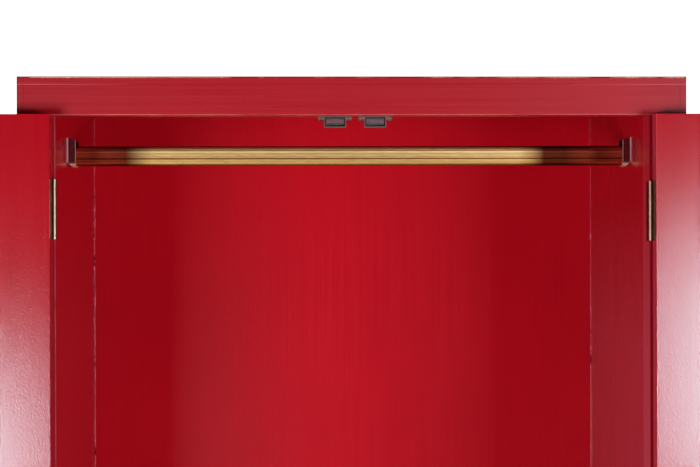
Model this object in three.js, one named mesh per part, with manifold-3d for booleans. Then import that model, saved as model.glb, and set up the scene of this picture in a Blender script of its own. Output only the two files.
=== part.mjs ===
// A wardrobe in red lacquer with a pair of doors on brass butt hinges, a fluted hanging rail and
// magnetic catches. Millimetres, +Z up. The front faces -Y, and the doors stand open, 180 degrees
// from shut.
//
// Everything is laid out in a cabinet frame: x = 0 on the centre line, y = 0 on the front face of the
// front posts, z = 0 on the floor. The last lines move it so that the origin is under the middle of the
// whole object's box.

import * as THREE from 'three';
import { mergeVertices } from 'three/addons/utils/BufferGeometryUtils.js';
import Module from 'manifold-3d';

const wasm = await Module();
wasm.setup();

// Driving dimensions of the case
const HEIGHT = 1850;
const TOP_WIDTH = 1060;
const OPENING_WIDTH = 940;
const INSIDE_DEPTH = 535;
const POST = 50;
const TOP_BOARD = 12;
const TOP_RAIL_HEIGHT = 49;
const BACK = 12;
const FLOOR_TOP = 160;
const FOOT_HEIGHT = 100;
const FLOOR_BOARD = 12;
const LINING = 9;
const SIDE_PANEL = 9;
const SIDE_PANEL_INSET = 3;
const CLEAT_HEIGHT = 14;
const CLEAT_DEPTH = 25;
const GAP = 0.3; // between two pieces that touch

// Doors, shut in the opening with their faces flush with the posts
const DOOR_THICKNESS = 30;
const DOOR_HINGE_GAP = 1.5;
const DOOR_MEETING_GAP = 1;
const DOOR_TOP_GAP = 1;
const DOOR_BOTTOM_GAP = 2;

// Butt hinges
const HINGE_AXIS_Y = -4.5;
const HINGE_AXIS_OUTSET = 1; // beyond the post's inner face, in line with the frame leaf
const HINGE_HEIGHT = 94.5;
const HINGE_FROM_TOP = 102.5;
const HINGE_OFFSETS = { left: 1.8, right: -3 }; // set by hand, so the two sides aren't quite level
const KNUCKLES = 4;
const KNUCKLE_RADIUS = 3.25;
const KNUCKLE_BORE = 1.9;
const KNUCKLE_GAP = 0.4;
const PIN_RADIUS = 1.6;
const LEAF_DEPTH = 25;
const LEAF_THICKNESS = 1.3;
const ROUND_SIDES = 32; // sides of a turned or rolled piece

// Hanging rail and its two brackets
const RAIL_HEIGHT = 33;
const RAIL_DEPTH = 15;
const RAIL_WALL = 1.3;
const RAIL_DROP = 57.9; // from the underside of the top front rail to the rail's centre
const RAIL_Y = 158;
const FLUTES_FROM_TOP = [7.3, 12.5, 21, 26.6];
const FLUTE_WIDTHS = [1.0, 0.8, 1.8, 1.0];
const FLUTE_DEPTH = 0.5;
const OVAL_STEPS = { outer: 12, inner: 6 }; // per quarter of the rail's round edges
const CUP_WALL = 2;
const CUP_PLAY = 0.4;
const CUP_TOP = 30.5; // above the rail's centre, at the wall
const CUP_TOP_SLOPE = 5;
const CUP_FRONT_REACH = 13;
const CUP_REAR_REACH = 16;
const CUP_CHAMFER = 8.5;
const PLATE_WIDTH = 22;
const SCREW_RADIUS = 1.7;
const SCREW_HOLE = 2.1;
const SCREW_HEAD_RADIUS = 3.4;
const SCREW_HEAD_HEIGHT = 1.6;
const SCREW_LENGTH = 12;
const SCREW_TIP = 2;
const SCREW_SIDES = 16;
const SCREW_HEIGHTS = { upper: 22.5, lower: -5 }; // above the rail's centre

// Magnetic catches under the top front rail
const CATCH_CENTRES = { left: -28.8, right: 35.5 };
const CATCH_FRONT = 31.8;
const CATCH_DEPTH = 15;
const CATCH_WIDTH = 34.8;
const CATCH_HEIGHT = 17.7;
const CATCH_WALL = 1.5;
const EAR_SPAN = 54;
const EAR_HEIGHT = 5.4;
const POLE_WIDTH = 28.5;
const POLE_THICKNESS = 1.8;
const POLE_DROPS = { upper: 4.6, lower: 12.4 };
const POLE_DEPTH = 11;
const STRIKE_WIDTH = 30;
const STRIKE_HEIGHT = 14;
const STRIKE_THICKNESS = 1;

// Knobs
const KNOB_HEIGHT = 900;
const KNOB_FROM_EDGE = 36;
const KNOB_LENGTH = 30;
const KNOB_STEM = [[0, 0], [12, 0], [12, 1.6], [10, 3.2], [6, 4.6], [5.2, 8], [5.6, 12], [9, 15]];
const KNOB_RADIUS = 14.5;
const KNOB_CROWN = 9;
const KNOB_CROWN_START = -0.45; // radians below the widest ring
const KNOB_CROWN_STEPS = 8;

// Derived places
const openingHalf = OPENING_WIDTH / 2;
const postOuter = openingHalf + POST;
const topHalf = TOP_WIDTH / 2;
const bodyDepth = INSIDE_DEPTH + BACK;
const topBoardUnder = HEIGHT - TOP_BOARD;
const lintelUnder = topBoardUnder - TOP_RAIL_HEIGHT;
const rearPostFront = INSIDE_DEPTH - POST;
const doorTop = lintelUnder - DOOR_TOP_GAP;
const doorBottom = FLOOR_TOP + DOOR_BOTTOM_GAP;
const doorHingeEdge = openingHalf - DOOR_HINGE_GAP;
const railZ = lintelUnder - RAIL_DROP;
const openFront = 2 * HINGE_AXIS_Y - DOOR_THICKNESS - GAP - STRIKE_THICKNESS;
const hingeAxisX = openingHalf + HINGE_AXIS_OUTSET;

// The heights of the undersides of one side's hinges
function hingeBottoms(name) {
  const offset = HINGE_OFFSETS[name];
  return {
    top: lintelUnder - HINGE_FROM_TOP - HINGE_HEIGHT + offset,
    middle: (lintelUnder + FLOOR_TOP - HINGE_HEIGHT) / 2 + offset,
    bottom: FLOOR_TOP + HINGE_FROM_TOP + offset,
  };
}

// Finishes
const lacquer = new THREE.MeshStandardMaterial({ color: 0xa8141f, roughness: 0.25, metalness: 0 });
const gold = new THREE.MeshStandardMaterial({ color: 0xc9a565, roughness: 0.35, metalness: 1 });
const steel = new THREE.MeshStandardMaterial({ color: 0xb9b4b0, roughness: 0.2, metalness: 1 });
const brass = new THREE.MeshStandardMaterial({ color: 0xb89b62, roughness: 0.35, metalness: 1 });
const aluminium = new THREE.MeshStandardMaterial({ color: 0x8d8574, roughness: 0.5, metalness: 1 });
const ferrite = new THREE.MeshStandardMaterial({ color: 0x4a2a2c, roughness: 0.7, metalness: 0 });

// Shapes

function box([x0, x1], [y0, y1], [z0, z1]) {
  const geometry = new THREE.BoxGeometry(Math.abs(x1 - x0), y1 - y0, z1 - z0);
  return geometry.translate((x0 + x1) / 2, (y0 + y1) / 2, (z0 + z1) / 2);
}

// A cylinder along Z from z0 to z1
function upright(radius, x, y, z0, z1) {
  const geometry = new THREE.CylinderGeometry(radius, radius, z1 - z0, ROUND_SIDES);
  return geometry.rotateX(Math.PI / 2).translate(x, y, (z0 + z1) / 2);
}

// A cylinder along X from x0 to x1
function bar(radius, x0, x1, y, z) {
  const geometry = new THREE.CylinderGeometry(radius, radius, Math.abs(x1 - x0), ROUND_SIDES);
  return geometry.rotateZ(Math.PI / 2).translate((x0 + x1) / 2, y, z);
}

function toSolid(geometry) {
  const bare = geometry.clone();
  bare.deleteAttribute('normal');
  bare.deleteAttribute('uv');
  const merged = mergeVertices(bare, 1e-4);
  const vertProperties = new Float32Array(merged.attributes.position.array);
  const triVerts = new Uint32Array(merged.index.array);
  return new wasm.Manifold(new wasm.Mesh({ numProp: 3, vertProperties, triVerts }));
}

function toGeometry(solid) {
  const mesh = solid.getMesh();
  const geometry = new THREE.BufferGeometry();
  geometry.setAttribute('position', new THREE.BufferAttribute(new Float32Array(mesh.vertProperties), 3));
  geometry.setIndex(new THREE.BufferAttribute(new Uint32Array(mesh.triVerts), 1));
  geometry.computeVertexNormals();
  return geometry;
}

// The first geometry with the added ones joined on and the cut ones taken away
function carve(first, { added = [], cut = [] }) {
  let solid = toSolid(first);
  for (const piece of added) {
    solid = solid.add(toSolid(piece));
  }
  for (const piece of cut) {
    solid = solid.subtract(toSolid(piece));
  }
  return toGeometry(solid);
}

function place(group, name, geometry, material) {
  const mesh = new THREE.Mesh(geometry, material);
  mesh.name = name;
  group.add(mesh);
}

// side is -1 for the left and +1 for the right
const SIDES = { left: -1, right: 1 };

// Case

function addTop(group) {
  const railTop = topBoardUnder - GAP;
  const fullDepth = [0, bodyDepth];
  place(group, 'top_board', box([-topHalf, topHalf], fullDepth, [topBoardUnder, HEIGHT]), lacquer);
  const lintelHalf = postOuter - GAP;
  const lintel = box([-lintelHalf, lintelHalf], [0, POST], [lintelUnder, railTop]);
  place(group, 'top_front_rail', lintel, lacquer);
  const cleatHalf = openingHalf - GAP;
  const cleatDepth = [INSIDE_DEPTH - CLEAT_DEPTH, INSIDE_DEPTH];
  const cleat = box([-cleatHalf, cleatHalf], cleatDepth, [railTop - CLEAT_HEIGHT, railTop]);
  place(group, 'top_rear_cleat', cleat, lacquer);
  for (const [name, side] of Object.entries(SIDES)) {
    const apron = box([side * postOuter, side * topHalf], fullDepth, [lintelUnder, railTop]);
    place(group, `top_apron_${name}`, apron, lacquer);
  }
}

// The slot in a post's inner face that a hinge's frame leaf lies in
function leafPocket(side, bottom) {
  const across = [side * (openingHalf - 1), side * (openingHalf + GAP + LEAF_THICKNESS + GAP)];
  const along = [-1, LEAF_DEPTH + GAP];
  return box(across, along, [bottom - GAP, bottom + HINGE_HEIGHT + GAP]);
}

function addPosts(group) {
  for (const [name, side] of Object.entries(SIDES)) {
    const across = [side * openingHalf, side * postOuter];
    const pockets = Object.values(hingeBottoms(name)).map((bottom) => leafPocket(side, bottom));
    const front = carve(box(across, [0, POST], [0, lintelUnder - GAP]), { cut: pockets });
    place(group, `front_post_${name}`, front, lacquer);
    const rearAcross = [side * openingHalf, side * (postOuter - GAP)];
    const rear = box(rearAcross, [rearPostFront, INSIDE_DEPTH], [0, topBoardUnder - GAP]);
    place(group, `rear_post_${name}`, rear, lacquer);
  }
}

function addSides(group) {
  const between = [POST + GAP, rearPostFront - GAP];
  const standing = [FLOOR_TOP + GAP, topBoardUnder - GAP];
  for (const [name, side] of Object.entries(SIDES)) {
    const inner = side * openingHalf;
    const lining = box([inner, inner + side * LINING], between, standing);
    const pilots = Object.values(SCREW_HEIGHTS).map((up) =>
      bar(SCREW_HOLE, inner - side, inner + side * (LINING + 1), RAIL_Y, railZ + up));
    place(group, `side_lining_${name}`, carve(lining, { cut: pilots }), lacquer);
    const outer = side * (postOuter - SIDE_PANEL_INSET);
    const panel = box([outer - side * SIDE_PANEL, outer], between, standing);
    place(group, `side_panel_${name}`, panel, lacquer);
    const sill = box([inner, side * postOuter], between, [FOOT_HEIGHT, FLOOR_TOP]);
    place(group, `bottom_side_rail_${name}`, sill, lacquer);
  }
}

function addBackAndFloor(group) {
  const backHalf = postOuter - GAP;
  const backDepth = [INSIDE_DEPTH + GAP, bodyDepth];
  const backPanel = box([-backHalf, backHalf], backDepth, [FOOT_HEIGHT, topBoardUnder - GAP]);
  place(group, 'back_panel', backPanel, lacquer);
  const across = [GAP - openingHalf, openingHalf - GAP];
  const board = box(across, [0, INSIDE_DEPTH - GAP], [FLOOR_TOP - FLOOR_BOARD, FLOOR_TOP]);
  place(group, 'floor_board', board, lacquer);
  const under = [FOOT_HEIGHT, FLOOR_TOP - FLOOR_BOARD - GAP];
  place(group, 'bottom_front_rail', box(across, [0, POST], under), lacquer);
  place(group, 'bottom_rear_rail', box(across, [rearPostFront, INSIDE_DEPTH - GAP], under), lacquer);
}

// Hanging rail

// Half the depth of an oval with straight sides and round ends, at a height above its centre
function ovalHalfDepth(up, halfDepth, halfHeight) {
  const straight = halfHeight - halfDepth;
  const over = Math.max(0, Math.abs(up) - straight);
  return Math.sqrt(Math.max(0, halfDepth ** 2 - over ** 2));
}

// Heights at which a side of the oval is drawn, from the top down
function ovalHeights(halfDepth, halfHeight, steps) {
  const straight = halfHeight - halfDepth;
  const heights = [];
  for (let i = 0; i <= steps; i += 1) {
    const angle = (i / steps) * (Math.PI / 2);
    heights.push(straight + halfDepth * Math.cos(angle));
  }
  return heights.concat(heights.map((up) => -up).reverse());
}

// One fluted side as [depth, height] pairs from the top down
function flutedSide() {
  const halfDepth = RAIL_DEPTH / 2;
  const halfHeight = RAIL_HEIGHT / 2;
  const flutes = FLUTES_FROM_TOP.map((drop, i) => ({ up: halfHeight - drop, half: FLUTE_WIDTHS[i] / 2 }));
  const inFlute = (up) => flutes.some((flute) => Math.abs(up - flute.up) <= flute.half + 0.1);
  const side = ovalHeights(halfDepth, halfHeight, OVAL_STEPS.outer)
    .filter((up) => !inFlute(up))
    .map((up) => [ovalHalfDepth(up, halfDepth, halfHeight), up]);
  for (const { up, half } of flutes) {
    for (const [part, depth] of [[1, 0], [0.5, FLUTE_DEPTH], [-0.5, FLUTE_DEPTH], [-1, 0]]) {
      const at = up + part * half;
      side.push([ovalHalfDepth(at, halfDepth, halfHeight) - depth, at]);
    }
  }
  return side.sort((a, b) => b[1] - a[1]);
}

// A closed outline from one side and its mirror image, counter-clockwise, as points of the section
function outline(side) {
  const mirrored = side.slice(1, -1).map(([depth, up]) => [-depth, up]);
  return mirrored.concat([...side].reverse()).map(([depth, up]) => new THREE.Vector2(depth, up));
}

function railGeometry() {
  const innerDepth = RAIL_DEPTH / 2 - RAIL_WALL;
  const innerHeight = RAIL_HEIGHT / 2 - RAIL_WALL;
  const innerSide = ovalHeights(innerDepth, innerHeight, OVAL_STEPS.inner)
    .map((up) => [ovalHalfDepth(up, innerDepth, innerHeight), up]);
  const section = new THREE.Shape(outline(flutedSide()));
  section.holes.push(new THREE.Path(outline(innerSide)));
  const length = 2 * (openingHalf - GAP - CUP_WALL - 1);
  const geometry = new THREE.ExtrudeGeometry(section, { depth: length, bevelEnabled: false });
  // the section's x and y become depth and height, and the extrusion runs along X
  geometry.translate(0, 0, -length / 2).rotateX(Math.PI / 2).rotateZ(Math.PI / 2);
  return geometry.translate(0, RAIL_Y, railZ);
}

// Everything outside the cup's outline as it is seen from the front, standing off the wall along +X
function bracketOutline() {
  const low = -(RAIL_HEIGHT / 2 + CUP_PLAY + CUP_WALL);
  const corners = [
    [0, low + CUP_CHAMFER],
    [CUP_CHAMFER, low],
    [CUP_REAR_REACH, low],
    [CUP_REAR_REACH, CUP_TOP - CUP_TOP_SLOPE],
    [0, CUP_TOP],
  ];
  const shape = new THREE.Shape(corners.map(([out, up]) => new THREE.Vector2(out, up)));
  const geometry = new THREE.ExtrudeGeometry(shape, { depth: PLATE_WIDTH, bevelEnabled: false });
  return geometry.translate(0, 0, -PLATE_WIDTH / 2).rotateX(Math.PI / 2);
}

// An upright U, round below and open above, drawn in depth and height and standing along +X
function cupWalls(halfDepth, halfHeight, from, to) {
  const shape = new THREE.Shape();
  const centre = halfDepth - halfHeight;
  shape.moveTo(-halfDepth, CUP_TOP + 1);
  shape.lineTo(-halfDepth, centre);
  shape.absarc(0, centre, halfDepth, Math.PI, 2 * Math.PI, false);
  shape.lineTo(halfDepth, CUP_TOP + 1);
  const options = { depth: to - from, bevelEnabled: false, curveSegments: ROUND_SIDES / 2 };
  const geometry = new THREE.ExtrudeGeometry(shape, options);
  return geometry.rotateX(Math.PI / 2).rotateZ(Math.PI / 2).translate(from, 0, 0);
}

// A cup for the rail's end, with its back on the plane x = 0 and the rail's centre at y = z = 0.
// frontSign is -1 where the front leg is the one at -Y, and +1 where it is the one at +Y.
function bracketGeometry(frontSign) {
  const innerDepth = RAIL_DEPTH / 2 + CUP_PLAY;
  const innerHeight = RAIL_HEIGHT / 2 + CUP_PLAY;
  const outer = toSolid(cupWalls(innerDepth + CUP_WALL, innerHeight + CUP_WALL, 0, CUP_REAR_REACH + 1));
  const inner = toSolid(cupWalls(innerDepth, innerHeight, CUP_WALL, CUP_REAR_REACH + 2));
  const plateHeight = [-(innerHeight + CUP_WALL), CUP_TOP];
  const halfWidth = PLATE_WIDTH / 2;
  const plate = toSolid(box([0, CUP_WALL], [-halfWidth, halfWidth], plateHeight));
  // the free edge runs slantwise, from the front leg's reach to the rear leg's
  const slant = Math.atan2(CUP_REAR_REACH - CUP_FRONT_REACH, PLATE_WIDTH);
  const ample = 2 * CUP_TOP;
  const beyond = box([0, ample], [-ample, ample], [-ample, ample]).rotateZ(frontSign * slant);
  const free = toSolid(beyond.translate((CUP_REAR_REACH + CUP_FRONT_REACH) / 2, 0, 0));
  let cup = outer.subtract(inner).add(plate).intersect(toSolid(bracketOutline())).subtract(free);
  for (const up of Object.values(SCREW_HEIGHTS)) {
    cup = cup.subtract(toSolid(bar(SCREW_HOLE, -1, CUP_WALL + 1, 0, up)));
  }
  return toGeometry(cup);
}

// A round-headed screw with its point towards -X and its head's underside on the plane x = 0
function screwGeometry() {
  const profile = [
    [0, -SCREW_LENGTH],
    [SCREW_RADIUS, SCREW_TIP - SCREW_LENGTH],
    [SCREW_RADIUS, 0],
    [SCREW_HEAD_RADIUS, 0],
    [SCREW_HEAD_RADIUS, SCREW_HEAD_HEIGHT / 3],
    [SCREW_HEAD_RADIUS * 0.8, SCREW_HEAD_HEIGHT * 0.8],
    [0, SCREW_HEAD_HEIGHT],
  ];
  const points = profile.map(([radius, along]) => new THREE.Vector2(radius, along));
  return new THREE.LatheGeometry(points, SCREW_SIDES).rotateZ(-Math.PI / 2);
}

function addHangingRail(group) {
  place(group, 'hanging_rail', railGeometry(), gold);
  for (const [name, side] of Object.entries(SIDES)) {
    const fitting = new THREE.Group();
    fitting.position.set(side * (openingHalf - GAP), RAIL_Y, railZ);
    fitting.rotation.z = side > 0 ? Math.PI : 0;
    group.add(fitting);
    place(fitting, `rail_bracket_${name}`, bracketGeometry(side), steel);
    for (const [level, up] of Object.entries(SCREW_HEIGHTS)) {
      const screw = screwGeometry().translate(CUP_WALL + GAP, 0, up);
      place(fitting, `bracket_screw_${name}_${level}`, screw, steel);
    }
  }
}

// Magnetic catches

function catchCase(x) {
  const top = lintelUnder - GAP;
  const bottom = lintelUnder - CATCH_HEIGHT;
  const depth = [CATCH_FRONT, CATCH_FRONT + CATCH_DEPTH];
  const half = CATCH_WIDTH / 2;
  const shell = box([x - half, x + half], depth, [bottom, top]);
  const ears = box([x - EAR_SPAN / 2, x + EAR_SPAN / 2], depth, [top - EAR_HEIGHT, top]);
  const innerHalf = half - CATCH_WALL;
  const hollowDepth = [CATCH_FRONT - 1, CATCH_FRONT + CATCH_DEPTH - CATCH_WALL];
  const hollow = box([x - innerHalf, x + innerHalf], hollowDepth, [bottom + CATCH_WALL, top - CATCH_WALL]);
  return carve(shell, { added: [ears], cut: [hollow] });
}

function addCatches(group) {
  const depth = [CATCH_FRONT, CATCH_FRONT + POLE_DEPTH];
  for (const [name, x] of Object.entries(CATCH_CENTRES)) {
    place(group, `catch_case_${name}`, catchCase(x), aluminium);
    const across = [x - POLE_WIDTH / 2, x + POLE_WIDTH / 2];
    for (const [level, drop] of Object.entries(POLE_DROPS)) {
      const z = lintelUnder - drop;
      const pole = box(across, depth, [z - POLE_THICKNESS / 2, z + POLE_THICKNESS / 2]);
      place(group, `catch_pole_${name}_${level}`, pole, steel);
    }
    const above = lintelUnder - POLE_DROPS.upper - POLE_THICKNESS / 2 - GAP;
    const below = lintelUnder - POLE_DROPS.lower + POLE_THICKNESS / 2 + GAP;
    const magnetDepth = [CATCH_FRONT + 1, CATCH_FRONT + POLE_DEPTH];
    place(group, `catch_magnet_${name}`, box(across, magnetDepth, [below, above]), ferrite);
  }
}

// Hinges, with the shut door's leaf facing the post's leaf across the door's gap

// One knuckle's span in height, counted from the top
function knuckleSpan(bottom, index) {
  const pitch = HINGE_HEIGHT / KNUCKLES;
  const top = bottom + HINGE_HEIGHT - index * pitch;
  return [top - pitch + KNUCKLE_GAP / 2, top - KNUCKLE_GAP / 2];
}

// A leaf's plate with every other knuckle, its plate lying between two distances from the centre line
function hingeLeaf(side, bottom, firstKnuckle, [near, far]) {
  const across = [side * near, side * far];
  const plate = box(across, [GAP, LEAF_DEPTH], [bottom, bottom + HINGE_HEIGHT]);
  const added = [];
  for (let index = firstKnuckle; index < KNUCKLES; index += 2) {
    const [z0, z1] = knuckleSpan(bottom, index);
    added.push(upright(KNUCKLE_RADIUS, side * hingeAxisX, HINGE_AXIS_Y, z0, z1));
    added.push(box(across, [HINGE_AXIS_Y, GAP + 1], [z0, z1]));
  }
  const above = bottom + HINGE_HEIGHT + 1;
  const bore = upright(KNUCKLE_BORE, side * hingeAxisX, HINGE_AXIS_Y, bottom - 1, above);
  return carve(plate, { added, cut: [bore] });
}

function addFrameHinges(group) {
  const lying = [openingHalf + GAP, openingHalf + GAP + LEAF_THICKNESS];
  for (const [name, side] of Object.entries(SIDES)) {
    for (const [level, bottom] of Object.entries(hingeBottoms(name))) {
      place(group, `hinge_frame_leaf_${name}_${level}`, hingeLeaf(side, bottom, 0, lying), brass);
      const top = bottom + HINGE_HEIGHT;
      const pin = upright(PIN_RADIUS, side * hingeAxisX, HINGE_AXIS_Y, bottom, top);
      place(group, `hinge_pin_${name}_${level}`, pin, steel);
    }
  }
}

// Doors

// A shut door, with slots in its hinge edge for the leaves
function doorSlab(name, side) {
  const across = [side * DOOR_MEETING_GAP, side * doorHingeEdge];
  const slots = Object.values(hingeBottoms(name)).map((bottom) => {
    const slotAcross = [side * (doorHingeEdge - GAP - LEAF_THICKNESS - GAP), side * (doorHingeEdge + 1)];
    return box(slotAcross, [-1, LEAF_DEPTH + GAP], [bottom - GAP, bottom + HINGE_HEIGHT + GAP]);
  });
  return carve(box(across, [0, DOOR_THICKNESS], [doorBottom, doorTop]), { cut: slots });
}

// A turned knob standing off the plane y = 0 towards -Y, from [radius, distance out] pairs
function knobGeometry() {
  const points = [...KNOB_STEM];
  const turn = (Math.PI / 2 - KNOB_CROWN_START) / KNOB_CROWN_STEPS;
  for (let i = 0; i < KNOB_CROWN_STEPS; i += 1) {
    const angle = KNOB_CROWN_START + i * turn;
    points.push([KNOB_RADIUS * Math.cos(angle), KNOB_LENGTH - KNOB_CROWN * (1 - Math.sin(angle))]);
  }
  points.push([0, KNOB_LENGTH]);
  const profile = points.map(([radius, out]) => new THREE.Vector2(radius, out));
  return new THREE.LatheGeometry(profile, ROUND_SIDES).rotateX(Math.PI);
}

function addDoor(group, name, side) {
  // the door is laid out shut, about its hinge axis, and then swung open
  const door = new THREE.Group();
  door.position.set(side * hingeAxisX, HINGE_AXIS_Y, 0);
  door.rotation.z = Math.PI;
  group.add(door);
  const hang = (node, geometry, material) => {
    place(door, node, geometry.translate(-side * hingeAxisX, -HINGE_AXIS_Y, 0), material);
  };
  hang(`door_${name}`, doorSlab(name, side), lacquer);
  const lying = [doorHingeEdge - GAP - LEAF_THICKNESS, doorHingeEdge - GAP];
  for (const [level, bottom] of Object.entries(hingeBottoms(name))) {
    hang(`hinge_door_leaf_${name}_${level}`, hingeLeaf(side, bottom, 1, lying), brass);
  }
  const x = CATCH_CENTRES[name];
  const plateTop = doorTop - 1;
  const strike = box(
    [x - STRIKE_WIDTH / 2, x + STRIKE_WIDTH / 2],
    [DOOR_THICKNESS + GAP, DOOR_THICKNESS + GAP + STRIKE_THICKNESS],
    [plateTop - STRIKE_HEIGHT, plateTop],
  );
  hang(`strike_plate_${name}`, strike, steel);
  const knob = knobGeometry().translate(side * (DOOR_MEETING_GAP + KNOB_FROM_EDGE), -GAP, KNOB_HEIGHT);
  hang(`knob_${name}`, knob, brass);
}

// The whole object, with its origin under the middle of its box

const wardrobe = new THREE.Group();
wardrobe.position.y = -(openFront + bodyDepth) / 2;
addTop(wardrobe);
addPosts(wardrobe);
addSides(wardrobe);
addBackAndFloor(wardrobe);
addHangingRail(wardrobe);
addCatches(wardrobe);
addFrameHinges(wardrobe);
for (const [name, side] of Object.entries(SIDES)) {
  addDoor(wardrobe, name, side);
}

const model = new THREE.Group();
model.add(wardrobe);
export default model;
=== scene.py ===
"""A red-lacquered wardrobe, its doors open, in a plain studio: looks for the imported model."""

import math
import random

import bmesh
import bpy
from mathutils import Matrix, Vector


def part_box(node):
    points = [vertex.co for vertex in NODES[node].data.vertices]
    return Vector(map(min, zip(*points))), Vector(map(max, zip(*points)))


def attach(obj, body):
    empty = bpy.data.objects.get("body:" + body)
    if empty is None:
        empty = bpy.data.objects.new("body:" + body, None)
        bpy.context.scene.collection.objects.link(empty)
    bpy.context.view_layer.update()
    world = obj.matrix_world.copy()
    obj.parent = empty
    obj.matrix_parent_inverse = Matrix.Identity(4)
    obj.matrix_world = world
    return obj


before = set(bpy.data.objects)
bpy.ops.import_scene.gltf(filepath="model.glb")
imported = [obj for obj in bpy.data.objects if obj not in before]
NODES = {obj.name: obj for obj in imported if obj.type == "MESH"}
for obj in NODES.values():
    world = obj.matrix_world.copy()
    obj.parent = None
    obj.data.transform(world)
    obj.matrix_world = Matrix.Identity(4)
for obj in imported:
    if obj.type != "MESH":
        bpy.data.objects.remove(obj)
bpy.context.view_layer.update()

SIDES = {"left": -1, "right": 1}
HINGE_LEVELS = ("top", "middle", "bottom")

# Places taken from the frame. Lengths are in metres where no comment says mm
LINTEL_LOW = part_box("top_front_rail")[0]
POST_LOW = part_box("front_post_right")[0]
FLOOR_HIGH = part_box("floor_board")[1]
TOP_LOW, TOP_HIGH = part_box("top_board")
BACK_LOW, BACK_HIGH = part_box("back_panel")
RAIL_LOW, RAIL_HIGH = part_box("hanging_rail")
BRACKET_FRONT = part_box("rail_bracket_left")[0][1]
DOOR_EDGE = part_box("door_right")[0][0]
FRONT = LINTEL_LOW[1]
LINTEL_UNDER = LINTEL_LOW[2]
OPENING_HALF = POST_LOW[0]
HINGE_AXIS_X = OPENING_HALF + 0.001
HINGE_AXIS_Y = FRONT - 0.0045


# Camera, stage and light

CAMERA_X = -0.0987
CAMERA_DISTANCE = 2.7078  # in front of the posts
CAMERA_BELOW_LINTEL = 0.1876
CAMERA_YAW = math.radians(1.95)  # to the right
CAMERA_ROLL = math.radians(0.168)
CAMERA_LENS = 88.12  # mm
CAMERA_SENSOR = 36  # mm
CAMERA_REACH = 60

OPENING = Vector((0.0, FRONT + 0.2, 1.45))
LIGHT_Y = FRONT - 2.7
LIGHT_TINT = (1.0, 1.0, 1.12)
OVERHEAD = Vector((0.0, 4.4, 5.5))
REAR_X = 2.6
REAR_Y = 3.2
REAR_Z = 1.9
CASE_MIDDLE = Vector((0.0, 0.3, 1.0))

WORLD_SEEN = 1.8  # past the end of the tone curve, so it shows as pure white
WORLD_LIGHT = 0.012
FLOOR_SIZE = 24


def add_camera():
    data = bpy.data.cameras.new("camera")
    data.sensor_width = CAMERA_SENSOR
    data.lens = CAMERA_LENS
    data.clip_end = CAMERA_REACH
    camera = bpy.data.objects.new("camera", data)
    bpy.context.scene.collection.objects.link(camera)
    place = Vector((CAMERA_X, FRONT - CAMERA_DISTANCE, LINTEL_UNDER - CAMERA_BELOW_LINTEL))
    turn = Matrix.Rotation(-CAMERA_YAW, 4, "Z") @ Matrix.Rotation(math.pi / 2, 4, "X")
    camera.matrix_world = Matrix.Translation(place) @ turn @ Matrix.Rotation(-CAMERA_ROLL, 4, "Z")
    bpy.context.scene.camera = camera


def add_softbox(name, centre, size, radiance, aim=OPENING):
    """A soft light of that (width, height), facing aim and hidden from the camera."""
    data = bpy.data.lights.new(name, "AREA")
    data.shape = "RECTANGLE"
    data.size, data.size_y = size
    data.energy = radiance * math.pi * size[0] * size[1]
    data.color = LIGHT_TINT
    lamp = bpy.data.objects.new(name, data)
    lamp.location = centre
    lamp.rotation_euler = (aim - Vector(centre)).to_track_quat("-Z", "Y").to_euler()
    lamp.visible_camera = False
    bpy.context.scene.collection.objects.link(lamp)


def add_lights():
    """Two softboxes before the doors, and a soft light over and two behind for the other sides."""
    add_softbox("softbox_left", (-1.78, LIGHT_Y, 0.70), (1.3, 0.9), 25)
    add_softbox("softbox_right", (2.02, LIGHT_Y, 1.10), (1.4, 0.9), 25)
    add_softbox("overhead", OVERHEAD, (9.0, 8.0), 1.5, aim=OVERHEAD - Vector((0, 0, 1)))
    for name, side in SIDES.items():
        place = (side * REAR_X, REAR_Y, REAR_Z)
        add_softbox(f"softbox_rear_{name}", place, (1.4, 1.0), 7, aim=CASE_MIDDLE)


def add_world():
    """White where the camera looks past the object, and dim as a source of light."""
    world = bpy.data.worlds.new("studio")
    bpy.context.scene.world = world
    world.use_nodes = True
    nodes, links = world.node_tree.nodes, world.node_tree.links
    nodes.clear()
    seen = nodes.new("ShaderNodeBackground")
    seen.inputs["Color"].default_value = (1, 1, 1, 1)
    seen.inputs["Strength"].default_value = WORLD_SEEN
    dim = nodes.new("ShaderNodeBackground")
    dim.inputs["Color"].default_value = (1, 0.98, 0.96, 1)
    dim.inputs["Strength"].default_value = WORLD_LIGHT
    path = nodes.new("ShaderNodeLightPath")
    mix = nodes.new("ShaderNodeMixShader")
    out = nodes.new("ShaderNodeOutputWorld")
    links.new(path.outputs["Is Camera Ray"], mix.inputs["Fac"])
    links.new(dim.outputs[0], mix.inputs[1])
    links.new(seen.outputs[0], mix.inputs[2])
    links.new(mix.outputs[0], out.inputs["Surface"])


def add_floor():
    bpy.ops.mesh.primitive_plane_add(size=FLOOR_SIZE)
    floor = bpy.context.object
    floor.name = "studio_floor"
    shader = Shader("studio_floor", Roughness=0.8)
    shader.link(shader.ramp(shader.noise(0.6), [(0.3, 0.74), (0.7, 0.78)]), "Base Color")
    floor.data.materials.append(shader.material)


# (scene value, shown value): true up to the middle tones, with a soft shoulder for the glare
SHOULDER = ((0.0, 0.0), (0.38, 0.38), (0.62, 0.575), (1.0, 0.80), (1.6, 1.0))
CURVE_REACH = 2.0
COMBINED = 3  # the curve after those of red, green and blue


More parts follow.
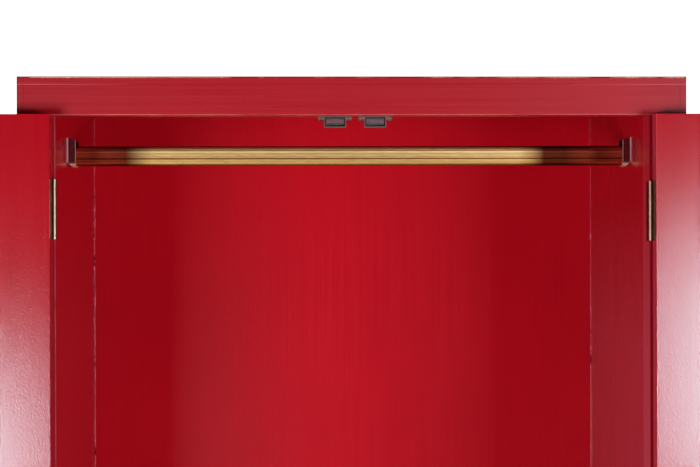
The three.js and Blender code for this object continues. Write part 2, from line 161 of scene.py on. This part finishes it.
def set_view():
    view = bpy.context.scene.view_settings
    view.view_transform = "Standard"
    view.use_curve_mapping = True
    mapping = view.curve_mapping
    mapping.clip_max_x = CURVE_REACH
    mapping.clip_max_y = 1.0
    mapping.use_clip = True
    points = mapping.curves[COMBINED].points
    points[0].location = SHOULDER[0]
    points[1].location = SHOULDER[1]
    for scene_value, shown_value in SHOULDER[2:]:
        points.new(scene_value, shown_value)
    mapping.update()


# Materials


class Shader:
    """A Principled material under construction, with short ways to add its textures."""

    def __init__(self, name, **values):
        self.material = bpy.data.materials.new(name)
        self.material.use_nodes = True
        self.tree = self.material.node_tree
        self.principled = self.tree.nodes["Principled BSDF"]
        for key, value in values.items():
            self.principled.inputs[key.replace("_", " ")].default_value = value
        self.place = self.tree.nodes.new("ShaderNodeTexCoord").outputs["Object"]

    def link(self, socket, key):
        self.tree.links.new(socket, self.principled.inputs[key])

    def feed(self, value, socket):
        """Sets a socket to a number or a colour, or links another socket to it."""
        if isinstance(value, (int, float)):
            socket.default_value = value
        elif isinstance(value, tuple):
            socket.default_value = (*value, 1)
        else:
            self.tree.links.new(value, socket)

    def scaled(self, scales):
        node = self.tree.nodes.new("ShaderNodeMapping")
        node.inputs["Scale"].default_value = scales
        self.tree.links.new(self.place, node.inputs["Vector"])
        return node.outputs[0]

    def axis(self, name):
        node = self.tree.nodes.new("ShaderNodeSeparateXYZ")
        self.tree.links.new(self.place, node.inputs[0])
        return node.outputs[name]

    def from_middle(self):
        """The distance to the left or the right of the middle."""
        return self.math("ABSOLUTE", self.axis("X"))

    def noise(self, scale, detail=3.0, roughness=0.5, vector=None):
        node = self.tree.nodes.new("ShaderNodeTexNoise")
        node.inputs["Scale"].default_value = scale
        node.inputs["Detail"].default_value = detail
        node.inputs["Roughness"].default_value = roughness
        self.tree.links.new(vector or self.place, node.inputs["Vector"])
        return node.outputs["Fac"]

    def ramp(self, value, stops):
        """Maps a value through stops of (position, colour or grey)."""
        node = self.tree.nodes.new("ShaderNodeValToRGB")
        band = node.color_ramp
        while len(band.elements) < len(stops):
            band.elements.new(0.5)
        for element, (position, colour) in zip(band.elements, stops):
            element.position = position
            grey = isinstance(colour, (int, float))
            element.color = (colour, colour, colour, 1) if grey else (*colour, 1)
        self.tree.links.new(value, node.inputs["Fac"])
        return node.outputs["Color"]

    def rescale(self, value, zero, one):
        """0 where value is zero, 1 where it is one, in a straight line between them."""
        node = self.tree.nodes.new("ShaderNodeMapRange")
        node.inputs["From Min"].default_value = zero
        node.inputs["From Max"].default_value = one
        self.tree.links.new(value, node.inputs["Value"])
        return node.outputs[0]

    def near(self, value, edge, reach, soft=0.0002):
        """1 where value is within reach, a (low, high) pair from edge, with both ends softened."""
        low, high = edge + reach[0], edge + reach[1]
        rise = self.rescale(value, low - soft, low + soft)
        fall = self.rescale(value, high + soft, high - soft)
        return self.product(rise, fall)

    def math(self, operation, a, b=0):
        node = self.tree.nodes.new("ShaderNodeMath")
        node.operation = operation
        self.feed(a, node.inputs[0])
        self.feed(b, node.inputs[1])
        return node.outputs[0]

    def product(self, first, *others):
        for other in others:
            first = self.math("MULTIPLY", first, other)
        return first

    def mix(self, factor, a, b):
        """Colour a where factor is 0, and b where it is 1."""
        node = self.tree.nodes.new("ShaderNodeMix")
        node.data_type = "RGBA"
        self.feed(factor, node.inputs["Factor"])
        self.feed(a, node.inputs[6])
        self.feed(b, node.inputs[7])
        return node.outputs[2]

    def multiply(self, a, b):
        tinted = self.mix(1.0, a, b)
        tinted.node.blend_type = "MULTIPLY"
        return tinted

    def bump(self, heights):
        """Stacks (height, distance) pairs into one normal."""
        normal = None
        for height, distance in heights:
            node = self.tree.nodes.new("ShaderNodeBump")
            node.inputs["Distance"].default_value = distance
            node.inputs["Strength"].default_value = 1.0
            self.tree.links.new(height, node.inputs["Height"])
            if normal is not None:
                self.tree.links.new(normal, node.inputs["Normal"])
            normal = node.outputs["Normal"]
        self.link(normal, "Normal")


RED = (0.40, 0.0014, 0.0071)
RED_DEEP = (0.35, 0.0010, 0.0060)
# Painted sheen, a pale bluish pink, on the right post's side and the lower linings
PAINTED_SHEEN = (0.56, 0.10, 0.14)
# Painted highlight on the left post's inner arris
POST_ARRIS_HIGHLIGHT = (0.56, 0.12, 0.14)
# Painted highlight on the lintel's lower arris
LINTEL_ARRIS_HIGHLIGHT = (0.58, 0.085, 0.080)
SEAM_PALE = (0.60, 0.12, 0.15)
# Painted light on the right door's hinge edge
DOOR_EDGE_LIT = (0.62, 0.06, 0.09)
# Painted shade in the gap beside each door's edge: lighter on the left post, darker on the right
GAP_SHADE_LEFT = (0.32, 0.009, 0.014)
GAP_SHADE_RIGHT = (0.18, 0.003, 0.007)

ACROSS = (3.0, 60.0, 260.0)
UPRIGHT = (260.0, 60.0, 3.0)
BRUSH_DEPTH = 0.000008
WARP_OUTWARD = 0.035
WARP_LEFT = 0.030


def lacquer(name, roughness, brushing, peel, shine, warp=None, tone=1.0, marks=()):
    """Brushed red lacquer, its (low, high) roughness following the brush marks.

    The peel is the (depth, scale) of the orange-peel. A warp tilts the shading normal by a
    constant slope, so that reflections shift, while the board itself stays flat. The marks are
    functions that return a mask and its colour.
    """
    shader = Shader(name, Specular_IOR_Level=shine)
    depth, scale = peel
    clouds = shader.noise(5.0, detail=4.0)
    brush = shader.noise(1.0, detail=4.0, roughness=0.6, vector=shader.scaled(brushing))
    deep, full = (tuple(tone * part for part in red) for red in (RED_DEEP, RED))
    colour = shader.ramp(shader.product(clouds, brush), [(0.12, deep), (0.4, full)])
    for mark in marks:
        mask, tint = mark(shader)
        colour = shader.mix(mask, colour, tint)
    shader.link(colour, "Base Color")
    shader.link(shader.ramp(brush, [(0.3, roughness[0]), (0.7, roughness[1])]), "Roughness")
    heights = [(brush, BRUSH_DEPTH), (shader.noise(scale, detail=1.0), depth)]
    if warp == "outward":
        heights.append((shader.product(shader.from_middle(), -1), WARP_OUTWARD))
    if warp == "left":
        heights.append((shader.axis("X"), WARP_LEFT))
    shader.bump(heights)
    return shader.material


# Where the marks lie, as (low, high) from the face, arris or joint that they follow
FRONT_FACE = (-0.001, 0.0008)
LINING_FACE = (-0.001, 0.001)
SHADOW_LINE = (0.0013, 0.009)
POST_ARRIS = (-0.0011, 0.001)
POST_ARRIS_FRONT = (-0.001, 0.004)
POST_SIDE = (-0.001, 0.0004)
POST_SIDE_DEPTH = (0.0015, 0.049)
LINTEL_ARRIS = (-0.001, 0.0012)
LINTEL_ARRIS_FRONT = (-0.008, 0.013)
DOOR_EDGE_FACE = (-0.001, 0.0006)
SEAM = (-0.0014, 0.0002)
# Where the fading marks start and are full: heights from the lintel's underside, or for the
# seam, distances from the middle
POST_SHEEN_FADE = (0.15, -0.40)
LINING_SHEEN_FADE = (-0.13, -0.37)
SEAM_FADE = (0.33, 0.50)
# How much of the red they cover where they are full
POST_SHEEN_WEIGHT = 0.42
LINING_SHEEN_WEIGHT = 0.24
SEAM_WEIGHT = 0.4
DOOR_EDGE_LIT_WEIGHT = 0.5
LINING_SHEEN_VANISHES_X = -1.7 * OPENING_HALF  # the painted sheen grows from here to the right lining


def fading_down(shader, fade):
    start, full = (LINTEL_UNDER + rise for rise in fade)
    return shader.rescale(shader.axis("Z"), start, full)


def painted_door_gap_shade(shader):
    """Painted shade: a dark line on the front face of each post beside the door's edge, where the
    gap lies in shadow, darker on the right.
    """
    strip = shader.near(shader.from_middle(), OPENING_HALF, SHADOW_LINE)
    front = shader.near(shader.axis("Y"), FRONT, FRONT_FACE)
    side = shader.rescale(shader.axis("X"), -OPENING_HALF, OPENING_HALF)
    return shader.product(strip, front), shader.ramp(side, [(0.0, GAP_SHADE_LEFT), (1.0, GAP_SHADE_RIGHT)])


def painted_post_arris_highlight(shader):
    """A painted highlight on the inner arris of the left front post, broken up in patches."""
    strip = shader.near(shader.axis("X"), -OPENING_HALF, POST_ARRIS)
    front = shader.near(shader.axis("Y"), FRONT, POST_ARRIS_FRONT, soft=0.0005)
    broken = shader.rescale(shader.noise(30.0), 0.2, 0.9)
    return shader.product(strip, front, broken), POST_ARRIS_HIGHLIGHT


def painted_post_side_sheen(shader):
    """A painted sheen on the inner side of the right front post, paler than the lining behind it
    further down.
    """
    strip = shader.near(shader.axis("X"), OPENING_HALF, POST_SIDE)
    front = shader.near(shader.axis("Y"), FRONT, POST_SIDE_DEPTH, soft=0.0005)
    return shader.product(strip, front, fading_down(shader, POST_SHEEN_FADE), POST_SHEEN_WEIGHT), PAINTED_SHEEN


def painted_lining_sheen(shader):
    """A painted sheen on the lower part of both linings, stronger on the right one."""
    inner = shader.near(shader.from_middle(), OPENING_HALF, LINING_FACE)
    strength = shader.rescale(shader.axis("X"), LINING_SHEEN_VANISHES_X, OPENING_HALF)
    return shader.product(inner, fading_down(shader, LINING_SHEEN_FADE), strength, LINING_SHEEN_WEIGHT), PAINTED_SHEEN


def painted_lit_door_edge(shader):
    """Painted light: the hinge edge of the right door, paler than its faces where it is lit."""
    strip = shader.near(shader.axis("X"), DOOR_EDGE, DOOR_EDGE_FACE)
    return shader.product(strip, DOOR_EDGE_LIT_WEIGHT), DOOR_EDGE_LIT


def painted_lintel_arris_highlight(shader):
    """A painted highlight on the lower arris of the lintel, where it faces the lights below, broken
    up in patches.
    """
    strip = shader.near(shader.axis("Z"), LINTEL_UNDER, LINTEL_ARRIS, soft=0.0004)
    front = shader.near(shader.axis("Y"), FRONT, LINTEL_ARRIS_FRONT, soft=0.006)
    broken = shader.rescale(shader.noise(18.0, detail=4.0), 0.25, 0.75)
    return shader.product(strip, front, broken), LINTEL_ARRIS_HIGHLIGHT


def pale_seam(shader):
    """A pale line along the joint under the top board, stronger towards both ends."""
    strip = shader.near(shader.axis("Z"), TOP_LOW[2], SEAM)
    front = shader.near(shader.axis("Y"), FRONT, FRONT_FACE)
    outer = shader.rescale(shader.from_middle(), *SEAM_FADE)
    return shader.product(strip, front, outer, SEAM_WEIGHT), SEAM_PALE


FINE_GRAIN = 1400.0
METAL_DEPTH = 0.000003


def metal(name, colour, grime, roughness, scale=160.0, metallic=1.0, patchy=(0.35, 0.75)):
    """A surface that dulls in patches towards grime, roughness being (clean, dull)."""
    shader = Shader(name, Metallic=metallic)
    patches = shader.noise(scale, detail=4.0)
    shader.link(shader.ramp(patches, [(patchy[0], colour), (patchy[1], grime)]), "Base Color")
    shader.link(shader.ramp(patches, [(0.3, roughness[0]), (0.8, roughness[1])]), "Roughness")
    shader.bump([(shader.noise(FINE_GRAIN), METAL_DEPTH)])
    return shader.material


# Tones by depth below the rail's top, in mm: painted highlights and shade of the flutes, as bands
# of colour
RAIL_LIT_BANDS = (
    (1.5, (0.30, 0.09, 0.05)), (3.6, (0.95, 0.60, 0.32)), (6.6, (0.80, 0.50, 0.26)),
    (7.5, (0.36, 0.18, 0.06)), (8.4, (0.36, 0.18, 0.06)), (9.3, (0.86, 0.74, 0.36)),
    (10.6, (0.86, 0.72, 0.36)), (12.0, (0.66, 0.46, 0.21)), (17.0, (0.69, 0.48, 0.22)),
    (18.0, (0.50, 0.28, 0.12)), (19.3, (0.70, 0.52, 0.25)), (20.4, (0.28, 0.12, 0.03)),
    (21.8, (0.28, 0.12, 0.03)), (23.0, (0.68, 0.50, 0.21)), (25.5, (0.56, 0.37, 0.14)),
    (29.8, (0.50, 0.31, 0.11)), (32.0, (0.36, 0.20, 0.06)),
)
RAIL_BRUSHING = (60.0, 900.0, 900.0)
RAIL_BRUSHED = ((0.3, (0.79, 0.70, 0.54)), (0.7, (0.97, 0.86, 0.67)))
RAIL_BRUSH_DEPTH = 0.000004
# Where along X the rail turns from painted shade to painted light, on the left and on the right
RAIL_LIT_LEFT = (-0.374, -0.330)
RAIL_LIT_RIGHT = (0.324, 0.282)
# The tints of its ends, painted shade and a painted reflection of the red linings, from these
# distances off the middle
RAIL_SHADED_ENDS = (0.36, 0.46)
RAIL_END_REFLECTION = ((0.0, (0.12, 0.034, 0.036)), (1.0, (0.80, 0.18, 0.22)))


def fluted_gold():
    """Satin gold in bands of painted highlight and shade that follow the flutes, darkened and
    reddened towards the rail's ends by painted shade and a painted reflection of the red linings.
    """
    shader = Shader("gold_rail", Metallic=1.0)
    height = 1000 * (RAIL_HIGH[2] - RAIL_LOW[2])
    depth = shader.rescale(shader.axis("Z"), RAIL_HIGH[2], RAIL_LOW[2])
    lit_bands = shader.ramp(depth, [(down / height, colour) for down, colour in RAIL_LIT_BANDS])
    brushed = shader.noise(1.0, vector=shader.scaled(RAIL_BRUSHING))
    colour = shader.multiply(lit_bands, shader.ramp(brushed, RAIL_BRUSHED))
    left = shader.rescale(shader.axis("X"), *RAIL_LIT_LEFT)
    right = shader.rescale(shader.axis("X"), *RAIL_LIT_RIGHT)
    painted_ends = shader.ramp(shader.rescale(shader.from_middle(), *RAIL_SHADED_ENDS), RAIL_END_REFLECTION)
    shade = shader.mix(shader.product(left, right), painted_ends, (1.0, 1.0, 1.0))
    shader.link(shader.multiply(colour, shade), "Base Color")
    shader.link(shader.ramp(brushed, [(0.3, 0.40), (0.7, 0.46)]), "Roughness")
    shader.bump([(brushed, RAIL_BRUSH_DEPTH)])
    return shader.material


# The bracket's painted highlights, as (low, high) from the wall and from its front face, and the
# heights over the rail's underside between which the chamfer turns golden
BRACKET_WALL_EDGE = (-0.0013, 0.001)
BRACKET_FREE_EDGE = (-0.0150, -0.0125)
BRACKET_FACE = (-0.001, 0.0012)
BRACKET_CHAMFER = (0.005, 0.002)


def bracket_chrome():
    """A painted reflection of the red linings as dark maroon in the flats, painted highlights along
    the front leg's two edges, golden on the chamfer.
    """
    shader = Shader("bracket_chrome", Metallic=1.0)
    across = shader.from_middle()
    patches = shader.noise(160.0)
    # Dark maroon: a painted reflection of the red linings
    colour = shader.ramp(patches, [(0.35, (0.34, 0.16, 0.19)), (0.75, (0.22, 0.09, 0.11))])
    start, full = (RAIL_LOW[2] + rise for rise in BRACKET_CHAMFER)
    chamfer = shader.rescale(shader.axis("Z"), start, full)
    colour = shader.mix(chamfer, colour, (0.80, 0.60, 0.34))
    # Painted highlights along the front leg's two edges
    wall_edge = shader.near(across, OPENING_HALF, BRACKET_WALL_EDGE)
    free_edge = shader.near(across, OPENING_HALF, BRACKET_FREE_EDGE)
    front = shader.near(shader.axis("Y"), BRACKET_FRONT, BRACKET_FACE)
    bright = shader.product(shader.math("MAXIMUM", wall_edge, free_edge), front)
    shader.link(shader.mix(bright, colour, (0.80, 0.64, 0.64)), "Base Color")
    satin = shader.math("MAXIMUM", bright, chamfer)
    shader.link(shader.mix(satin, (0.2, 0.2, 0.2), (0.55, 0.55, 0.55)), "Roughness")
    shader.bump([(shader.noise(FINE_GRAIN), METAL_DEPTH)])
    return shader.material


KNUCKLE_REACH = (0.0036, 0.0031)
HINGE_DEPTH = 0.000008


def hinge_brass():
    """Rubbed bright on the knuckles; the leaves dark red-brown, their red lacquer darkened with
    painted shade.
    """
    shader = Shader("hinge_brass", Metallic=1.0)
    aside = shader.math("SUBTRACT", shader.from_middle(), HINGE_AXIS_X)
    deep = shader.math("SUBTRACT", shader.axis("Y"), HINGE_AXIS_Y)
    squares = shader.math("ADD", shader.math("POWER", aside, 2), shader.math("POWER", deep, 2))
    knuckle = shader.rescale(shader.math("SQRT", squares), *KNUCKLE_REACH)
    patches = shader.noise(140.0, detail=4.0)
    bright = shader.ramp(patches, [(0.35, (0.70, 0.58, 0.36)), (0.75, (0.46, 0.33, 0.17))])
    # Painted shade: the leaves as dark as the red lacquer in shadow
    shaded_leaf = shader.ramp(patches, [(0.35, (0.10, 0.010, 0.010)), (0.75, (0.05, 0.006, 0.006))])
    shader.link(shader.mix(knuckle, shaded_leaf, bright), "Base Color")
    shader.link(shader.ramp(patches, [(0.3, 0.32), (0.8, 0.5)]), "Roughness")
    shader.bump([(shader.noise(FINE_GRAIN), HINGE_DEPTH)])
    return shader.material


def make_lacquers():
    return {
        # The lintel's tone of 0.74 is painted shade: it lies high, further from the lights than the
        # case
        "lintel": lacquer(
            "lacquer_lintel", (0.34, 0.42), ACROSS, peel=(0.00004, 260.0), shine=0.33, tone=0.74,
            marks=(painted_lintel_arris_highlight, pale_seam),
        ),
        "case": lacquer(
            "lacquer_case", (0.20, 0.25), UPRIGHT, peel=(0.0001, 400.0), shine=0.42,
            marks=(painted_lining_sheen, painted_post_arris_highlight, painted_post_side_sheen, painted_door_gap_shade),
        ),
        "back": lacquer(
            "lacquer_back", (0.28, 0.34), UPRIGHT, peel=(0.00025, 400.0), shine=0.10, warp="left",
        ),
        "door": lacquer(
            "lacquer_door", (0.15, 0.18), UPRIGHT, peel=(0.00016, 420.0), shine=0.55, tone=0.80,
            warp="outward", marks=(painted_lit_door_edge,),
        ),
        "bead": metal(
            "lacquer_bead", (0.52, 0.045, 0.07), (0.44, 0.01, 0.03), (0.2, 0.3), metallic=0.0,
        ),
    }


def make_metals():
    return {
        "gold": fluted_gold(),
        "chrome": bracket_chrome(),
        "brass": hinge_brass(),
        "knob_brass": metal("knob_brass", (0.70, 0.52, 0.22), (0.50, 0.34, 0.13), (0.15, 0.28)),
        "aluminium": metal("catch_case", (0.22, 0.165, 0.135), (0.11, 0.08, 0.07), (0.32, 0.5)),
        "steel": metal("zinc_steel", (0.72, 0.74, 0.70), (0.45, 0.43, 0.40), (0.2, 0.35)),
        "pole": metal("pole_steel", (0.50, 0.56, 0.52), (0.34, 0.37, 0.34), (0.24, 0.28)),
        "screw": metal("dark_screw", (0.16, 0.11, 0.09), (0.06, 0.04, 0.035), (0.3, 0.5)),
        "gilt": metal(
            "gilt", (0.66, 0.56, 0.12), (0.24, 0.03, 0.02), (0.3, 0.5), scale=13.0,
            patchy=(0.46, 0.56),
        ),
        "ferrite": metal(
            "ferrite", (0.075, 0.028, 0.028), (0.05, 0.02, 0.02), (0.55, 0.7), metallic=0.0,
        ),
    }


# The material of each CAD node by the start of its name; the others are of the case
NODE_MATERIALS = (
    ("hanging_rail", "gold"), ("rail_bracket", "chrome"), ("bracket_screw", "steel"),
    ("catch_case", "aluminium"), ("catch_magnet", "ferrite"), ("catch_pole", "pole"),
    ("strike_plate", "steel"), ("hinge_", "brass"), ("knob_", "knob_brass"), ("door_", "door"),
    ("top_front_rail", "lintel"), ("top_apron", "lintel"), ("top_board", "lintel"),
    ("back_panel", "back"),
)
BEVELS = {
    "lintel": 0.0005, "case": 0.0012, "back": 0.0008, "door": 0.0016, "aluminium": 0.0003,
    "steel": 0.00025, "chrome": 0.0008,
}
BEVEL_ANGLE = math.radians(40)
BEVEL_SEGMENTS = 3


def soften_arrises(node, width):
    bevel = node.modifiers.new("soft_arris", "BEVEL")
    bevel.width = width
    bevel.segments = BEVEL_SEGMENTS
    bevel.limit_method = "ANGLE"
    bevel.angle_limit = BEVEL_ANGLE
    bevel.harden_normals = True


def dress_nodes(materials):
    for name, node in NODES.items():
        key = next((key for start, key in NODE_MATERIALS if name.startswith(start)), "case")
        if node.material_slots:
            node.material_slots[0].material = materials[key]
        else:
            node.data.materials.append(materials[key])
        if key in BEVELS:
            soften_arrises(node, BEVELS[key])


# Pieces that only the looks have


def add_mesh(name, mesh, material, body):
    for face in mesh.faces:
        face.smooth = True
    data = bpy.data.meshes.new(name)
    mesh.to_mesh(data)
    mesh.free()
    data.materials.append(material)
    piece = bpy.data.objects.new(name, data)
    bpy.context.scene.collection.objects.link(piece)
    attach(piece, body)


def ring_offsets(radius, height, count):
    """Points round a circle about Z."""
    for index in range(count):
        angle = 2 * math.pi * index / count
        yield Vector((radius * math.cos(angle), radius * math.sin(angle), height))


def add_turned(mesh, profile, origin, axis, segments=20):
    """Spins (radius, height) pairs about an axis through origin, closed at its ends of radius 0."""
    turn = Vector(axis).to_track_quat("Z", "Y").to_matrix()
    rings = []
    for radius, height in profile:
        offsets = ring_offsets(radius, height, segments) if radius else [Vector((0, 0, height))]
        rings.append([mesh.verts.new(Vector(origin) + turn @ offset) for offset in offsets])
    for low, high in zip(rings, rings[1:]):
        for index in range(segments):
            after = (index + 1) % segments
            if len(low) == 1:
                mesh.faces.new((low[0], high[after], high[index]))
            elif len(high) == 1:
                mesh.faces.new((low[index], low[after], high[0]))
            else:
                mesh.faces.new((low[index], low[after], high[after], high[index]))


def add_tube(mesh, spine, radii, sides=8):
    """A round bead along a spine of points, closed at its two ends."""
    rings = []
    for index, (point, radius) in enumerate(zip(spine, radii)):
        before = spine[max(0, index - 1)]
        after = spine[min(len(spine) - 1, index + 1)]
        turn = (after - before).to_track_quat("Z", "Y").to_matrix()
        rings.append([mesh.verts.new(point + turn @ v) for v in ring_offsets(radius, 0, sides)])
    for low, high in zip(rings, rings[1:]):
        for side in range(sides):
            after = (side + 1) % sides
            mesh.faces.new((low[side], low[after], high[after], high[side]))
    mesh.faces.new(list(reversed(rings[0])))
    mesh.faces.new(rings[-1])


# Heights in each rear corner where the lacquer gathered
CORNER_DRIPS = {"left": (1.655, 1.628, 1.552, 1.484), "right": (1.60, 1.46, 1.385, 1.352)}
DRIP_SPREAD = 0.008
DRIP_SWELL = 0.9
CORNER_BEAD_SWELL = (0.7, 1.05)
CORNER_BEAD_SWAY = 0.0002
CORNER_BEAD_WAVES = 41  # radians a metre
CORNER_BEAD_JITTER = 0.0001
CORNER_BEAD_RADIUS = 0.0008
CORNER_BEAD_STEP = 0.006
CORNER_BEAD_FOOT = FLOOR_HIGH[2] + 0.002
CORNER_BEAD_HEAD = BACK_HIGH[2] - 0.016
CORNER_BEAD_X = OPENING_HALF - 0.0006
CORNER_BEAD_Y = BACK_LOW[1] - 0.0007


def add_corner_beads(material):
    """The wavy run of lacquer in each rear corner, with drips where it gathered."""
    rng = random.Random(7)
    length = CORNER_BEAD_HEAD - CORNER_BEAD_FOOT
    count = int(length / CORNER_BEAD_STEP)
    for name, side in SIDES.items():
        spine, radii = [], []
        for index in range(count + 1):
            height = CORNER_BEAD_FOOT + length * index / count
            sway = CORNER_BEAD_SWAY * math.sin(CORNER_BEAD_WAVES * height)
            sway += rng.uniform(-CORNER_BEAD_JITTER, CORNER_BEAD_JITTER)
            drip = max(math.exp(-((height - z) / DRIP_SPREAD) ** 2) for z in CORNER_DRIPS[name])
            spine.append(Vector((side * (CORNER_BEAD_X + sway), CORNER_BEAD_Y, height)))
            swell = rng.uniform(*CORNER_BEAD_SWELL) + DRIP_SWELL * drip
            radii.append(CORNER_BEAD_RADIUS * swell)
        mesh = bmesh.new()
        add_tube(mesh, spine, radii)
        add_mesh(f"corner_bead_{name}", mesh, material, "cabinet")


GILT_RADIUS = 0.0007
GILT_SWELL = (0.82, 1.0)
GILT_STEPS = 220
GILT_INSET = 0.0015
GILT_Y = FRONT + 0.0002
GILT_Z = TOP_HIGH[2] - 0.0019


def add_gilt_edge(material):
    """The thin gilt line along the top board's upper front arris."""
    rng = random.Random(11)
    start, end = TOP_LOW[0] + GILT_INSET, TOP_HIGH[0] - GILT_INSET
    spine, radii = [], []
    for index in range(GILT_STEPS + 1):
        spine.append(Vector((start + (end - start) * index / GILT_STEPS, GILT_Y, GILT_Z)))
        radii.append(GILT_RADIUS * rng.uniform(*GILT_SWELL))
    mesh = bmesh.new()
    add_tube(mesh, spine, radii)
    add_mesh("gilt_edge", mesh, material, "cabinet")


# A domed head with a sunk middle, as (radius, height) in parts of the head's own
HEAD_PROFILE = (
    (0, 0), (1, 0), (1, 0.25), (0.85, 0.7), (0.5, 1), (0.34, 1), (0.26, 0.45), (0, 0.4),
)
# The (radius, height) of each kind of head
LUG_SCREW = (0.0030, 0.0012)
LUG_RIVET = (0.0016, 0.0005)
STRIKE_SCREW = (0.0026, 0.0010)
HINGE_SCREW = (0.0032, 0.0006)

LUG_HEIGHT = 0.0054
LUG_SCREW_INSET = 0.0045
STRIKE_SCREW_PLACES = (0.22, 0.78)  # parts of the plate's width
HINGE_SCREW_PLACES = (0.14, 0.5, 0.86)  # parts of the leaf's height
HINGE_SCREW_INSET = 0.011
HINGE_SCREW_X = OPENING_HALF + 0.0002


def add_screw_head(mesh, seat, axis, size):
    """A screw head seated on a point and standing off it along axis."""
    radius, height = size
    profile = [(radius * part, height * rise) for part, rise in HEAD_PROFILE]
    add_turned(mesh, profile, seat, axis)


def add_catch_screws(material):
    """A screw under each lug of the catches, and a small rivet on its front."""
    for name in SIDES:
        low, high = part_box(f"catch_case_{name}")
        half = (high[0] - low[0]) / 2
        middle = (high[0] + low[0]) / 2
        mesh = bmesh.new()
        for side in SIDES.values():
            across = middle + side * (half - LUG_SCREW_INSET)
            under = (across, (low[1] + high[1]) / 2, high[2] - LUG_HEIGHT)
            add_screw_head(mesh, under, (0, 0, -1), LUG_SCREW)
            front = (across, low[1], high[2] - LUG_HEIGHT / 2)
            add_screw_head(mesh, front, (0, -1, 0), LUG_RIVET)
        add_mesh(f"catch_screws_{name}", mesh, material, "cabinet")


def add_strike_screws(material):
    """Two screws in each strike plate, which moves with its door."""
    for name in SIDES:
        low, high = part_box(f"strike_plate_{name}")
        mesh = bmesh.new()
        for part in STRIKE_SCREW_PLACES:
            seat = (low[0] + part * (high[0] - low[0]), low[1], (low[2] + high[2]) / 2)
            add_screw_head(mesh, seat, (0, -1, 0), STRIKE_SCREW)
        add_mesh(f"strike_screws_{name}", mesh, material, f"{name}_door")


def add_hinge_screws(material):
    """Three screws in each frame leaf, their heads just proud of the posts' inner sides."""
    for name, side in SIDES.items():
        mesh = bmesh.new()
        for level in HINGE_LEVELS:
            low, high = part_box(f"hinge_frame_leaf_{name}_{level}")
            for part in HINGE_SCREW_PLACES:
                height = low[2] + part * (high[2] - low[2])
                seat = (side * HINGE_SCREW_X, high[1] - HINGE_SCREW_INSET, height)
                add_screw_head(mesh, seat, (-side, 0, 0), HINGE_SCREW)
        add_mesh(f"hinge_screws_{name}", mesh, material, "cabinet")


def add_pieces(materials):
    add_corner_beads(materials["bead"])
    add_gilt_edge(materials["gilt"])
    add_catch_screws(materials["screw"])
    add_strike_screws(materials["steel"])
    add_hinge_screws(materials["screw"])


add_camera()
add_world()
add_lights()
add_floor()
set_view()
MATERIALS = {**make_lacquers(), **make_metals()}
dress_nodes(MATERIALS)
add_pieces(MATERIALS)
